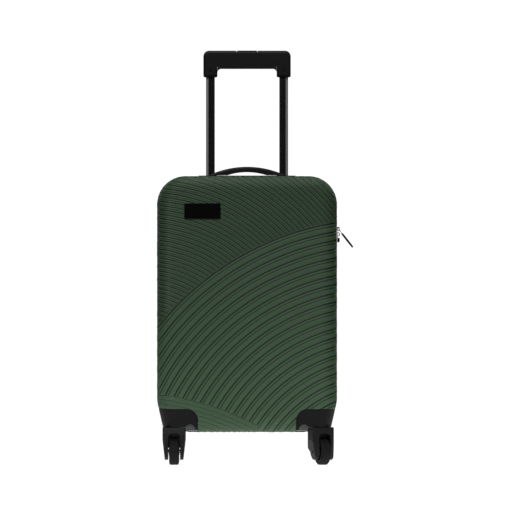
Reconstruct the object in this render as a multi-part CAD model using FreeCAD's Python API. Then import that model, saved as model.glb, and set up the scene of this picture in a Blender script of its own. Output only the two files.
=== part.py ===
"""Hard-shell cabin trolley case: two zipped half shells, four twin-axis casters, telescopic handle.

Millimetres. +Z is up, the front face looks toward -Y and the zip sliders are on the +X side.
The origin is on the floor, below the middle of the case and in the zip plane.
"""
import os

import FreeCAD
import Part
from FreeCAD import Vector

# Case
CASE_W = 343.0            # width over both sides
CASE_D = 200.0            # depth, front face to back face
CASE_BOTTOM = 62.0        # lowest point of the shells above the floor
CASE_TOP = 550.0
TOP_CORNER_R = 54.0
BOTTOM_CORNER_R = 66.0
FRONT_EDGE_R = 28.0       # rounding between the front face and the sides
BACK_EDGE_R = 16.0
SHELL_T = 2.5
LINING_GAP = 0.5
LINING_T = 0.8

# Zip band round the case
RIM_Y = 5.0               # each shell ends this far from the zip plane
TAPE_Y = 0.4
TAPE_INSET = 1.2
TAPE_T = 1.6
TEETH_Y = (0.3, 1.7)
TEETH_INSET = (-0.2, 1.1)
HINGE_Z = (140.0, 470.0)  # fabric hinge stretch on the -X side

# Zip sliders on the +X side
SLIDER_X = 172.0          # underside of the slider plates
SLIDER_PLATE_T = 1.2
SLIDER_W = 10.0
UPPER_SLIDER_Z = (444.8, 453.4)
LOWER_SLIDER_Z = (423.6, 432.8)
EYE_Z = 439.0
EYE_R = 3.6
EYE_WIRE_R = 0.8
PULLER_PIVOT = Vector(174.5, 0, 449.1)
PULLER_LENGTH = 45.0
PULLER_W = 9.0
PULLER_T = 2.4
PULLER_DROOP = 52.0       # degrees below level at rest

# Wheel wells and caster housings
WELL_X = 94.0             # inner side of a housing, from the middle
WELL_Y = 22.0
WELL_TOP = 106.0
WELL_R = 21.0
WELL_GAP = 0.4
HOUSING_BOTTOM = 71.3
CASTER_X = 139.0
CASTER_Y = 67.5
HOUSING_SCREWS = ((107.0, 40.0), (107.0, 84.0), (150.0, 34.0))

# Casters
WHEEL_R = 25.0
TYRE_INNER_R = 19.5
WHEEL_W = 18.8
AXLE_R = 3.0
TRAIL = 14.0              # wheel axle behind the swivel axis
NECK_R = 22.0
NECK_TOP = 70.5
NECK_BOTTOM = 47.6
ARM_GAP = 23.0            # clear width between the fork arms
ARM_TIP_W = 35.0
ARM_TIP_R = 15.5
ARCH_TOP = 59.6
STEM_R = 5.0
STEM_TOP = 98.0
FIT = 0.06                # radial running clearance

# Telescopic handle
TUBE_X = 70.0             # tube centre from the middle
TUBE_Y = 62.0
TUBE_W = 17.0             # inner tube
TUBE_D = 12.0
TUBE_CHAMFER = (4.6, 4.0)        # slanted outer flanks, across and along the depth
INNER_TUBE = (0.0, 1.0)          # growth over the inner tube's outline, wall
MIDDLE_TUBE = (1.75, 1.2)
OUTER_TUBE = (3.5, 1.2)
INNER_Z = (430.0, 757.0)
MIDDLE_Z = (84.0, 523.0)
OUTER_Z = (80.0, 519.0)
COLLAR_Z = (522.4, 528.4)
TRAY_X = 87.6             # outside of the cup
TRAY_Y = (47.4, 76.6)
TRAY_WALL = 1.6
TRAY_FLOOR = (519.0, 522.0)
TRAY_FLANGE = 5.0

# Grip of the telescopic handle
GRIP_X = 83.5
GRIP_LEG_W = 27.0
GRIP_Z = (739.0, 790.0)
GRIP_BAR_BOTTOM = 755.0
GRIP_DEPTH = 24.0
GRIP_CORNER_R = 11.0
GRIP_INNER_R = 7.0
GRIP_EDGE_R = 5.0
COVER_T = 4.6
BUTTON_X = 19.2
BUTTON_DEPTH = 18.4
BUTTON_Z = (783.0, 790.2)
BUTTON_SILL = 787.8       # top of the grip's walls beside the button
YOKE_Z = (767.0, 771.0)
LEG_SCREW_Z = GRIP_Z[0] + 13
LEG_SCREWS = [(x, side) for x in (-TUBE_X, TUBE_X) for side in (-1, 1)]

# Carry handle on the top
CARRY_Y = 22.0
CARRY_X = 73.0
CARRY_APEX = (557.6, 568.0)
CARRY_GAP_X = 37.0
CARRY_W = 24.0
CARRY_LEG_X = 60.0
CARRY_FOOT_Z = 526.0

# Packing straps
STRAP_CENTRE_Z = 308.0

# Badge
BADGE_CENTRE = (-84.8, 483.0)
BADGE_SIZE = (69.0, 30.0, 1.6)

UP = Vector(0, 0, 1)
ORIGIN = Vector(0, 0, 0)


def box(x0, x1, y0, y1, z0, z1):
    """Block between two opposite corners."""
    return Part.makeBox(x1 - x0, y1 - y0, z1 - z0, Vector(x0, y0, z0))


def rod(radius, start, end):
    """Round bar between two points."""
    start, end = Vector(*start), Vector(*end)
    return Part.makeCylinder(radius, (end - start).Length, start, end - start)


def flip_y(shape):
    """Mirror image across the zip plane."""
    return shape.mirror(ORIGIN, Vector(0, 1, 0))


def flip_x(shape):
    """Mirror image from one side of the case to the other."""
    return shape.mirror(ORIGIN, Vector(1, 0, 0))


def pair(shape):
    """A piece and its twin on the other side."""
    return Part.makeCompound([shape, flip_x(shape)])


def rounded_plate(x0, x1, z0, z1, top_r, bottom_r, y0, y1):
    """Plate in the XZ plane with rounded corners, thick from y0 to y1."""
    k = 0.5 ** 0.5
    edges = []

    def side(ax, az, bx, bz):
        edges.append(Part.makeLine(Vector(ax, y0, az), Vector(bx, y0, bz)))

    def corner(cx, cz, r, start, mid, end):
        points = [Vector(cx + r * u, y0, cz + r * w) for u, w in (start, mid, end)]
        edges.append(Part.Arc(*points).toShape())

    side(x0 + bottom_r, z0, x1 - bottom_r, z0)
    corner(x1 - bottom_r, z0 + bottom_r, bottom_r, (0, -1), (k, -k), (1, 0))
    side(x1, z0 + bottom_r, x1, z1 - top_r)
    corner(x1 - top_r, z1 - top_r, top_r, (1, 0), (k, k), (0, 1))
    side(x1 - top_r, z1, x0 + top_r, z1)
    corner(x0 + top_r, z1 - top_r, top_r, (0, 1), (-k, k), (-1, 0))
    side(x0, z1 - top_r, x0, z0 + bottom_r)
    corner(x0 + bottom_r, z0 + bottom_r, bottom_r, (-1, 0), (-k, -k), (0, -1))
    return Part.Face(Part.Wire(edges)).extrude(Vector(0, y1 - y0, 0))


def case_plate(inset, y0, y1):
    """Outline of the case drawn in by an inset, thick from y0 to y1."""
    half = CASE_W / 2 - inset
    return rounded_plate(-half, half, CASE_BOTTOM + inset, CASE_TOP - inset,
                         TOP_CORNER_R - inset, BOTTOM_CORNER_R - inset, y0, y1)


def fillet_at(shape, radius, test):
    """Round the edges whose middle point passes a test."""
    edges = [e for e in shape.Edges if test(e.BoundBox)]
    return shape.makeFillet(radius, edges)


def flat_at_y(y):
    """Test for edges that lie in the plane at y."""
    return lambda b: abs(b.YMin - y) < 0.01 and abs(b.YMax - y) < 0.01


def well(grow):
    """Space of one caster housing at the +X rear corner, grown on its inner sides."""
    x0, top = WELL_X - WELL_GAP - grow, WELL_TOP + WELL_GAP + grow
    block = box(x0, CASE_W, WELL_Y - WELL_GAP - grow, CASE_D, 0, top)
    return fillet_at(block, WELL_R + grow,
                     lambda b: abs(b.XMax - x0) < 0.01 and abs(b.ZMin - top) < 0.01)


def half_block(inset, y0, edge_r):
    """Solid half case toward +Y, its wheel wells cut out."""
    far = CASE_D / 2 - inset
    block = fillet_at(case_plate(inset, y0, far), edge_r - inset, flat_at_y(far))
    return block.cut(well(inset)).cut(flip_x(well(inset)))


def half_shell(edge_r):
    """Moulded shell toward +Y, open at the zip plane."""
    return half_block(0, RIM_Y, edge_r).cut(half_block(SHELL_T, 0, edge_r))


def half_lining(edge_r):
    """Cloth lining toward +Y, just inside the shell."""
    outside = SHELL_T + LINING_GAP
    return half_block(outside, RIM_Y, edge_r).cut(half_block(outside + LINING_T, 0, edge_r))


def ring(inset_out, inset_in, y0, y1):
    """Band that follows the case outline."""
    return case_plate(inset_out, y0, y1).cut(case_plate(inset_in, y0 - 1, y1 + 1))


def zip_tape():
    return ring(TAPE_INSET, TAPE_INSET + TAPE_T, TAPE_Y, RIM_Y)


def zip_teeth():
    """Row of teeth as one bead, left out along the fabric hinge."""
    bead = ring(TEETH_INSET[0], TEETH_INSET[1], TEETH_Y[0], TEETH_Y[1])
    return bead.cut(box(-CASE_W, -CASE_W / 3, -9, 9, *HINGE_Z))


def hinge_tape():
    """Fabric hinge on the -X side, sewn inside the rim."""
    x = -CASE_W / 2 + SHELL_T + LINING_GAP + LINING_T + 0.5
    return box(x, x + 1.2, TAPE_Y, RIM_Y + 9, *HINGE_Z)


def tray_hole(gap):
    x = TRAY_X + gap
    return box(-x, x, TRAY_Y[0] - gap, TRAY_Y[1] + gap, TRAY_FLOOR[0] - gap, CASE_TOP + 5)


def pocket_hole(gap):
    """Space of one carry handle pocket in the top of the rear shell."""
    return box(CARRY_LEG_X - 9 - gap, CARRY_LEG_X + 9 + gap, CARRY_Y - 12 - gap,
               CARRY_Y + 12 + gap, CARRY_FOOT_Z - 4 - gap, CASE_TOP + 5)


def open_top(shape, gap):
    """Cut the tray and the two pockets out of the rear half's top."""
    hole = pocket_hole(gap)
    return shape.cut(tray_hole(gap)).cut(hole).cut(flip_x(hole))


def handle_tray():
    """Cup in the top that takes the grip when it is pushed in."""
    x, (y0, y1) = TRAY_X, TRAY_Y
    cup = box(-x, x, y0, y1, TRAY_FLOOR[0], CASE_TOP)
    flange = box(-x - TRAY_FLANGE, x + TRAY_FLANGE, y0 - 3, y1 + 3, CASE_TOP, CASE_TOP + 1.4)
    upright = lambda b: b.ZLength > 1 and b.XLength < 0.01 and b.YLength < 0.01
    flange = fillet_at(flange, 6, upright)
    w = TRAY_WALL
    room = box(-x + w, x - w, y0 + w, y1 - w, TRAY_FLOOR[1], CASE_TOP + 5)
    tray = cup.fuse(flange).removeSplitter().cut(fillet_at(room, 5, upright))
    hole = tube_bar(MIDDLE_TUBE[0] + 0.5, (TRAY_FLOOR[0] - 5, TRAY_FLOOR[1] + 5))
    return tray.cut(hole).cut(flip_x(hole))


def tube_bar(grow, z_range):
    """Solid bar of a tube's outline at the +X tube's place, its outline grown evenly."""
    w, d = TUBE_W / 2, TUBE_D / 2
    cx, cy = TUBE_CHAMFER
    corners = [(-w, -d), (w - cx, -d), (w, -d + cy), (w, d - cy), (w - cx, d), (-w, d)]
    points = [Vector(TUBE_X + x, TUBE_Y + y, z_range[0]) for x, y in corners]
    outline = Part.makePolygon(points + points[:1])
    if grow:
        outline = outline.makeOffset2D(grow, 2)
    bar = Part.Face(outline).extrude(Vector(0, 0, z_range[1] - z_range[0]))
    return fillet_at(bar, 1.5 + grow / 2, lambda b: b.ZLength > 1)


def tube(size, z_range):
    """Aluminium tube with slanted outer flanks at the +X side."""
    grow, wall = size
    return tube_bar(grow, z_range).cut(tube_bar(grow - wall, (z_range[0] - 1, z_range[1] + 1)))


def tube_base():
    """Foot that ties the outer tubes together above the case floor."""
    return box(-84, 84, TUBE_Y - 8.5, TUBE_Y + 8.5, 66.9, OUTER_Z[0])


def tube_cover():
    """Channel over the tubes, between them and the packed clothes."""
    outside = box(-88, 88, 50, 95, OUTER_Z[0] + 2, OUTER_Z[1] - 2)
    outside = fillet_at(outside, 4, lambda b: b.ZLength > 1 and b.YMax < 51)
    return outside.cut(box(-86.2, 86.2, 51.8, 99, OUTER_Z[0], OUTER_Z[1]))


def middle_collar():
    """Ferrule on top of a middle tube; it stops the tube at the tray floor."""
    block = tube_bar(MIDDLE_TUBE[0] + 1.6, COLLAR_Z)
    lower = tube_bar(MIDDLE_TUBE[0] + 0.02, (COLLAR_Z[0] - 1, MIDDLE_Z[1]))
    upper = tube_bar(INNER_TUBE[0] + 0.3, (COLLAR_Z[0], COLLAR_Z[1] + 1))
    return block.cut(lower).cut(upper)


def grip_block():
    """U-shaped grip as one block, its corners, inner bends and edges rounded."""
    y0, y1 = TUBE_Y - GRIP_DEPTH / 2, TUBE_Y + GRIP_DEPTH / 2
    inner_x = GRIP_X - GRIP_LEG_W
    block = box(-GRIP_X, GRIP_X, y0, y1, *GRIP_Z)
    block = block.cut(box(-inner_x, inner_x, y0 - 1, y1 + 1, GRIP_Z[0] - 1, GRIP_BAR_BOTTOM))
    across = lambda b: b.YLength > 1 and b.XLength < 0.01 and b.ZLength < 0.01
    block = fillet_at(block, GRIP_CORNER_R, lambda b: across(b) and b.ZMin > GRIP_Z[1] - 0.1)
    block = fillet_at(block, GRIP_INNER_R, lambda b: across(b) and abs(b.ZMin - GRIP_BAR_BOTTOM) < 0.1)
    block = fillet_at(block, 3, lambda b: across(b) and b.ZMax < GRIP_Z[0] + 0.1)
    return fillet_at(block, GRIP_EDGE_R, lambda b: flat_at_y(y0)(b) or flat_at_y(y1)(b))


def cover_space(gap):
    """Space of the lower cover: the underside of the bar, from leg to leg."""
    x = GRIP_X - GRIP_LEG_W - gap
    return box(-x, x, 0, CASE_D, GRIP_Z[0], GRIP_BAR_BOTTOM + COVER_T - gap)


def grip_body():
    """Grip shell: hollow bar, button opening and tube sockets, open along its underside."""
    block = grip_block().cut(cover_space(0))
    floor = GRIP_BAR_BOTTOM + COVER_T
    block = block.cut(box(-74, 74, TUBE_Y - 8, TUBE_Y + 8, floor - 0.01, 780))
    x, half = BUTTON_X + 0.9, BUTTON_DEPTH / 2 + 0.4
    block = block.cut(box(-x, x, TUBE_Y - half, TUBE_Y + half, 779, GRIP_Z[1] + 1))
    block = block.cut(box(-x, x, 0, CASE_D, BUTTON_SILL, GRIP_Z[1] + 1))
    socket = tube_bar(0.02, (GRIP_Z[0] - 1, floor + 3))
    block = block.cut(socket).cut(flip_x(socket))
    for x, side in LEG_SCREWS:
        y = TUBE_Y + side * GRIP_DEPTH / 2
        block = block.cut(rod(2.4, (x, y - side * 1.9, LEG_SCREW_Z), (x, y + side, LEG_SCREW_Z)))
    return block


def grip_lower_cover():
    """Strip that closes the bar from below, with two small tool notches in each long edge."""
    cover = grip_block().common(cover_space(0.15))
    for x in (-37, 37):
        for y in (TUBE_Y - GRIP_DEPTH / 2, TUBE_Y + GRIP_DEPTH / 2):
            cover = cover.cut(box(x - 1.6, x + 1.6, y - 1.2, y + 1.2, GRIP_BAR_BOTTOM + 2.6, 800))
    return cover


def grip_screws():
    """Slotted screw heads sunk in both faces of the grip's legs."""
    heads = []
    for x, side in LEG_SCREWS:
        y = TUBE_Y + side * GRIP_DEPTH / 2
        head = rod(2.2, (x, y - side * 1.85, LEG_SCREW_Z), (x, y - side * 0.5, LEG_SCREW_Z))
        slot = box(x - 1.6, x + 1.6, min(y, y - side), max(y, y - side), LEG_SCREW_Z - 0.3, LEG_SCREW_Z + 0.3)
        heads.append(head.cut(slot))
    return Part.makeCompound(heads)


def release_button():
    """Button cap with a stem down to the yoke."""
    half = BUTTON_DEPTH / 2
    cap = box(-BUTTON_X, BUTTON_X, TUBE_Y - half, TUBE_Y + half, *BUTTON_Z)
    cap = fillet_at(cap, 3, lambda b: b.ZLength > 1)
    cap = fillet_at(cap, 1.2, lambda b: b.ZMin > BUTTON_Z[1] - 0.01)
    return cap.fuse(box(-6, 6, TUBE_Y - 3, TUBE_Y + 3, YOKE_Z[1], BUTTON_Z[0] + 1)).removeSplitter()


def push_rods():
    """Yoke below the button and the two rods that reach down to the tube locks."""
    yoke = box(-TUBE_X - 2.5, TUBE_X + 2.5, TUBE_Y - 2.5, TUBE_Y + 2.5, *YOKE_Z)
    drop = rod(2, (TUBE_X, TUBE_Y, INNER_Z[0] + 10), (TUBE_X, TUBE_Y, YOKE_Z[0] + 1))
    return yoke.fuse(drop).fuse(flip_x(drop)).removeSplitter()


def button_spring():
    """Coil spring that lifts the yoke."""
    wire, coil, x = 0.5, 3.0, 32.0
    bottom = GRIP_BAR_BOTTOM + COVER_T + wire + 0.1
    height = YOKE_Z[0] - bottom - wire - 0.1
    helix = Part.makeHelix(height / 4, height, coil)
    start = Part.Wire(Part.makeCircle(wire, Vector(coil, 0, 0), Vector(0, 1, 0)))
    spring = Part.Wire(helix.Edges).makePipeShell([start], True, True)
    spring.translate(Vector(x, TUBE_Y, bottom))
    return spring


def carry_handle():
    """Low bow with two legs that slide in the pockets."""
    base = CASE_TOP + 1.8
    y0, y1 = CARRY_Y - CARRY_W / 2, CARRY_Y + CARRY_W / 2

    def at(x, z):
        return Vector(x, y0, z)

    gap, reach = CARRY_GAP_X, CARRY_X
    edges = [
        Part.Arc(at(-reach, base), at(0, CARRY_APEX[1]), at(reach, base)).toShape(),
        Part.makeLine(at(reach, base), at(gap, base)),
        Part.Arc(at(gap, base), at(0, CARRY_APEX[0]), at(-gap, base)).toShape(),
        Part.makeLine(at(-gap, base), at(-reach, base)),
    ]
    bow = Part.Face(Part.Wire(edges)).extrude(Vector(0, y1 - y0, 0))
    bow = fillet_at(bow, 3.5, lambda b: b.ZMax > base + 10 and b.YLength < 0.01)
    x = CARRY_LEG_X
    leg = box(x - 3, x + 3, CARRY_Y - 8, CARRY_Y + 8, CARRY_FOOT_Z, base + 0.5)
    foot = box(x - 5.5, x + 5.5, CARRY_Y - 8, CARRY_Y + 8, CARRY_FOOT_Z, CARRY_FOOT_Z + 4)
    leg = leg.fuse(foot)
    return bow.fuse(leg).fuse(flip_x(leg)).removeSplitter()


def carry_pocket():
    """Pocket with a flange; its cap stops the handle's foot when the handle is pulled up."""
    x, y = CARRY_LEG_X, CARRY_Y
    body = box(x - 9, x + 9, y - 12, y + 12, CARRY_FOOT_Z - 4, CASE_TOP)
    flange = box(x - 14, x + 12, y - 14.5, y + 14.5, CASE_TOP, CASE_TOP + 1.4)
    flange = fillet_at(flange, 5, lambda b: b.ZLength > 1)
    room = box(x - 6.5, x + 6.5, y - 9, y + 9, CARRY_FOOT_Z - 2, CASE_TOP - 3)
    slot = box(x - 3.6, x + 3.6, y - 8.6, y + 8.6, CASE_TOP - 9, CASE_TOP + 9)
    return body.fuse(flange).removeSplitter().cut(room).cut(slot)


def badge_plate():
    """Blank plaque on the front face."""
    (x, z), (w, h, t) = BADGE_CENTRE, BADGE_SIZE
    y = -CASE_D / 2
    plate = box(x - w / 2, x + w / 2, y - t, y, z - h / 2, z + h / 2)
    plate = fillet_at(plate, 2.5, lambda b: b.YLength > 1)
    return fillet_at(plate, 0.5, flat_at_y(y - t))


def slider(z_range):
    """Zip slider: plate over the teeth and a bridge for the puller."""
    z0, z1 = z_range
    top = SLIDER_X + SLIDER_PLATE_T
    plate = box(SLIDER_X, top, -SLIDER_W / 2, SLIDER_W / 2, z0, z1)
    plate = fillet_at(plate, 2.5, lambda b: b.XLength > 1)
    bridge = box(top - 0.2, top + 3.6, -1.1, 1.1, z0 + 0.4, z1 - 0.4)
    bridge = fillet_at(bridge, 1.6, lambda b: b.YLength > 1 and b.XMin > top + 3)
    bridge = bridge.cut(box(top, top + 2.6, -2, 2, z0 + 1.8, z1 - 1.8))
    return plate.fuse(bridge).removeSplitter()


def padlock_eye():
    """D-shaped eye above the lower slider."""
    x = SLIDER_X + SLIDER_PLATE_T
    eye = Part.makeTorus(EYE_R, EYE_WIRE_R, Vector(x - 0.4, 0, EYE_Z), Vector(0, 1, 0))
    eye = eye.common(box(x - 0.6, x + 20, -5, 5, EYE_Z - 9, EYE_Z + 9))
    foot = box(SLIDER_X + 0.1, x, -2.5, 2.5, LOWER_SLIDER_Z[1] + 0.05, EYE_Z + EYE_R + 0.8)
    return foot.fuse(eye).removeSplitter()


def zip_puller():
    """Flat tab whose end loops through the upper slider's bridge."""
    r, t = PULLER_W / 2, PULLER_T
    loop = 6.5
    tab = box(loop - 1.2, PULLER_LENGTH - r, -r, r, -t / 2, t / 2)
    end = Part.makeCylinder(r, t, Vector(PULLER_LENGTH - r, 0, -t / 2), UP)
    tab = tab.fuse(end).removeSplitter()
    wire = 0.65
    frame = box(-wire, loop, -2.9, 2.9, -wire, wire).cut(box(wire, loop - 1, -1.5, 1.5, -2, 2))
    tab = fillet_at(tab, 0.7, lambda b: b.XLength > 20)
    puller = tab.fuse(frame).removeSplitter()
    puller.rotate(ORIGIN, Vector(0, 1, 0), PULLER_DROOP)
    puller.translate(PULLER_PIVOT)
    return puller


def strap_arm():
    """One elastic strap from the middle of the rear half toward an upper corner."""
    y = RIM_Y + 2
    reach = Vector(152, 0, 170)
    strap = box(37, reach.Length, y, y + 1.2, -12, 12)
    strap.rotate(ORIGIN, Vector(0, 1, 0), -48.2)
    strap.translate(Vector(0, 0, STRAP_CENTRE_Z))
    return strap


def packing_straps():
    """Four straps that cross over the packed clothes."""
    upper = strap_arm()
    lower = upper.mirror(Vector(0, 0, STRAP_CENTRE_Z), UP)
    return Part.makeCompound([upper, lower, flip_x(upper), flip_x(lower)])


def strap_buckle():
    """Plastic buckle where the straps meet."""
    y = RIM_Y + 1
    block = box(-24, 24, y, y + 5, STRAP_CENTRE_Z - 17, STRAP_CENTRE_Z + 17)
    block = fillet_at(block, 6, lambda b: b.YLength > 1)
    return block.cut(box(-13, 13, y - 1, y + 3, STRAP_CENTRE_Z - 8, STRAP_CENTRE_Z + 8))


def wheel_profile():
    """Front view of the housing at the +X side as a plate, thick along Y."""
    x_in, x_out = WELL_X, CASE_W / 2 + 1
    top, low = WELL_TOP, HOUSING_BOTTOM
    k = WELL_R * (1 - 0.5 ** 0.5)

    def at(x, z):
        return Vector(x, 0, z)

    edges = [
        Part.makeLine(at(x_out, top), at(x_in + WELL_R, top)),
        Part.Arc(at(x_in + WELL_R, top), at(x_in + k, top - k), at(x_in, top - WELL_R)).toShape(),
        Part.makeLine(at(x_in, top - WELL_R), at(x_in, low - 4.5)),
        Part.makeLine(at(x_in, low - 4.5), at(x_in + 4, low - 4.5)),
        Part.Arc(at(x_in + 4, low - 4.5), at(x_in + 9, low + 4), at(x_in + 16, low + 6)).toShape(),
        Part.makeLine(at(x_in + 16, low + 6), at(x_in + 21, low + 3)),
        Part.makeLine(at(x_in + 21, low + 3), at(x_in + 25, low)),
        Part.makeLine(at(x_in + 25, low), at(x_out, low)),
        Part.makeLine(at(x_out, low), at(x_out, top)),
    ]
    return Part.Face(Part.Wire(edges)).extrude(Vector(0, CASE_D / 2 + 1, 0))


def corner_loop(x1, y1, r, z):
    """Rounded outline of the housing in plan at one height."""
    x0, y0, k = WELL_X, WELL_Y, 1 - 0.5 ** 0.5

    def at(x, y):
        return Vector(x, y, z)

    arc = Part.Arc(at(x1, y1 - r), at(x1 - r * k, y1 - r * k), at(x1 - r, y1)).toShape()
    points = [at(x1 - r, y1), at(x0, y1), at(x0, y0), at(x1, y0), at(x1, y1 - r)]
    lines = [Part.makeLine(a, b) for a, b in zip(points, points[1:])]
    return Part.Wire([arc] + lines)


def housing_room():
    """Hollow of a housing, round the stem boss and the screw posts, open through its roof."""
    x0, x1, y0, y1 = WELL_X + 3.5, CASE_W / 2 - 13, WELL_Y + 3.5, CASE_D / 2 - 12
    z0, z1 = HOUSING_BOTTOM + 9, WELL_TOP - 3
    room = box(x0, x1, y0, y1, z0, z1)
    room = fillet_at(room, WELL_R - 3, lambda b: abs(b.XMax - x0) < 0.01 and abs(b.ZMin - z1) < 0.01)
    room = fillet_at(room, 27, lambda b: b.ZLength > 1 and b.XMin > x1 - 0.01 and b.YMin > y1 - 0.01)
    room = room.fuse(box(118, 154, 40, 82, z0, WELL_TOP + 5))
    for (x, y), r in [((CASTER_X, CASTER_Y), 10)] + [(place, 6.5) for place in HOUSING_SCREWS]:
        room = room.cut(rod(r, (x, y, 0), (x, y, WELL_TOP + 9)))
    return room


def caster_housing():
    """Moulded corner that fills the wheel well and holds the swivel stem, at +X and +Y."""
    half_w, half_d = CASE_W / 2, CASE_D / 2
    bottom = corner_loop(half_w - 12.5, half_d - 12, 26, HOUSING_BOTTOM - 5)
    top = corner_loop(half_w - 3.5, half_d - 1.5, 34, WELL_TOP)
    body = Part.makeLoft([bottom, top], True, True).common(wheel_profile())
    bore = rod(STEM_R + FIT, (CASTER_X, CASTER_Y, 0), (CASTER_X, CASTER_Y, STEM_TOP + 0.5))
    body = body.cut(housing_room()).cut(bore)
    for x, y in HOUSING_SCREWS:
        hole = rod(1.9, (x, y, 0), (x, y, WELL_TOP + 1))
        head = rod(3.6, (x, y, 0), (x, y, HOUSING_BOTTOM + 8.4))
        body = body.cut(hole).cut(head)
    return body


def housing_screws():
    """Three screws from below into the shell above a housing."""
    screws = []
    for x, y in HOUSING_SCREWS:
        seat = HOUSING_BOTTOM + 8.4
        head = rod(3.4, (x, y, seat - 2.2), (x, y, seat))
        head = head.cut(box(x - 2.4, x + 2.4, y - 0.5, y + 0.5, seat - 3, seat - 1.2))
        screws.append(head.fuse(rod(1.8, (x, y, seat), (x, y, WELL_TOP - 2.5))))
    return screws


def both_sides(solids):
    """Compound of some solids and their mirror images across the case's width."""
    return Part.makeCompound(list(solids) + [flip_x(s) for s in solids])


def fork_side():
    """Side view of the fork, thick along X: round at the axle, swelling up and back into the neck."""
    def at(y, z):
        return Vector(0, y, z)

    tip_front, tip_back = -TRAIL - ARM_TIP_R, -TRAIL + ARM_TIP_R
    front = Part.BSplineCurve()
    front.interpolate([at(-NECK_R, NECK_TOP), at(-NECK_R - 4.5, NECK_TOP - 18), at(tip_front, WHEEL_R)])
    back = Part.BSplineCurve()
    back.interpolate([at(tip_back, WHEEL_R), at(NECK_R - 7, NECK_BOTTOM - 13), at(NECK_R, NECK_TOP - 4)])
    edges = [
        front.toShape(),
        Part.Arc(at(tip_front, WHEEL_R), at(-TRAIL, WHEEL_R - ARM_TIP_R), at(tip_back, WHEEL_R)).toShape(),
        back.toShape(),
        Part.makeLine(at(NECK_R, NECK_TOP - 4), at(NECK_R, NECK_TOP)),
        Part.makeLine(at(NECK_R, NECK_TOP), at(-NECK_R, NECK_TOP)),
    ]
    plate = Part.Face(Part.Wire(edges)).extrude(Vector(2 * NECK_R, 0, 0))
    plate.translate(Vector(-NECK_R, 0, 0))
    return plate


def wheel_room():
    """Space for the wheel: open in front and below, with a guard left over its back."""
    half = ARM_GAP / 2
    arch = box(-half, half, -60, -TRAIL + 6, -1, ARCH_TOP)
    arch = fillet_at(arch, 8, lambda b: b.YLength > 1 and b.ZMin > ARCH_TOP - 0.01)
    round_back = rod(WHEEL_R + 2.5, (-half, -TRAIL, WHEEL_R), (half, -TRAIL, WHEEL_R))
    return arch.fuse(round_back).fuse(box(-half, half, -60, 60, -1, WHEEL_R))


def fork():
    """Caster fork about the swivel axis at the origin, trailing toward -Y."""
    outline = box(-NECK_R, NECK_R, -TRAIL - ARM_TIP_R - 2, NECK_R, 0, NECK_TOP)
    outline = fillet_at(outline, NECK_R - 4, lambda b: b.ZLength > 1 and b.XLength < 1 and b.YLength < 1)
    block = fork_side().common(outline)
    for sign in (1, -1):
        tip_x = ARM_TIP_W / 2
        wedge = [Vector(sign * NECK_R, 0, NECK_BOTTOM), Vector(sign * tip_x, 0, 9),
                 Vector(sign * tip_x, 0, 0), Vector(sign * 40, 0, 0), Vector(sign * 40, 0, NECK_BOTTOM)]
        cutter = Part.Face(Part.makePolygon(wedge + wedge[:1])).extrude(Vector(0, 120, 0))
        cutter.translate(Vector(0, -60, 0))
        block = block.cut(cutter)
    block = block.cut(wheel_room())
    axle = rod(AXLE_R + 0.02, (-30, -TRAIL, WHEEL_R), (30, -TRAIL, WHEEL_R))
    stem = rod(STEM_R, (0, 0, ARCH_TOP + 3), (0, 0, NECK_TOP + 1))
    return block.cut(axle).cut(stem)


def fork_stem():
    """Swivel stem pressed into the fork, with a retaining head in the housing."""
    return rod(STEM_R, (0, 0, ARCH_TOP + 3), (0, 0, STEM_TOP))


def wheel_axle():
    """Axle between the fork arms with a low head at each end."""
    end = ARM_TIP_W / 2 + 0.2
    shaft = rod(AXLE_R, (-end, -TRAIL, WHEEL_R), (end, -TRAIL, WHEEL_R))
    return shaft


def wheel_core():
    """Moulded wheel centre with a rim, a web and a bore for the axle."""
    def disc(radius, half):
        return rod(radius, (-half, -TRAIL, WHEEL_R), (half, -TRAIL, WHEEL_R))

    half = WHEEL_W / 2
    core = disc(TYRE_INNER_R, half - 0.6).cut(disc(TYRE_INNER_R - 2.5, half).cut(disc(TYRE_INNER_R, 2.2)))
    core = core.fuse(disc(7.5, half + 0.6)).removeSplitter()
    return core.cut(disc(AXLE_R + FIT, 40))


def tyre():
    """Soft tread with rounded shoulders."""
    def disc(radius, half):
        return rod(radius, (-half, -TRAIL, WHEEL_R), (half, -TRAIL, WHEEL_R))

    half = WHEEL_W / 2
    tread = disc(WHEEL_R, half)
    tread = fillet_at(tread, 4, lambda b: b.ZLength > 40)
    return tread.cut(disc(TYRE_INNER_R, half + 1))


CASTERS = {
    "front_left": (-1, -1, 0.0),
    "front_right": (1, -1, 20.0),
    "rear_left": (-1, 1, 180.0),
    "rear_right": (1, 1, 160.0),
}


def placed(shape, side, end, turn):
    """Caster piece turned about its stem and moved to its corner."""
    shape = shape.copy()
    shape.rotate(ORIGIN, UP, turn)
    shape.translate(Vector(side * CASTER_X, end * CASTER_Y, 0))
    return shape


def caster_nodes():
    """Housing, fork, stem, axle, wheel centre and tyre for each of the four corners."""
    nodes = {}
    housing = caster_housing()
    moving = {"fork": fork(), "stem": fork_stem(), "axle": wheel_axle(),
              "wheel_core": wheel_core(), "tyre": tyre()}
    for name, (side, end, turn) in CASTERS.items():
        piece = housing if side > 0 else flip_x(housing)
        nodes[f"{name}_housing"] = piece if end > 0 else flip_y(piece)
        for kind, shape in moving.items():
            nodes[f"{name}_{kind}"] = placed(shape, side, end, turn)
    return nodes


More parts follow.
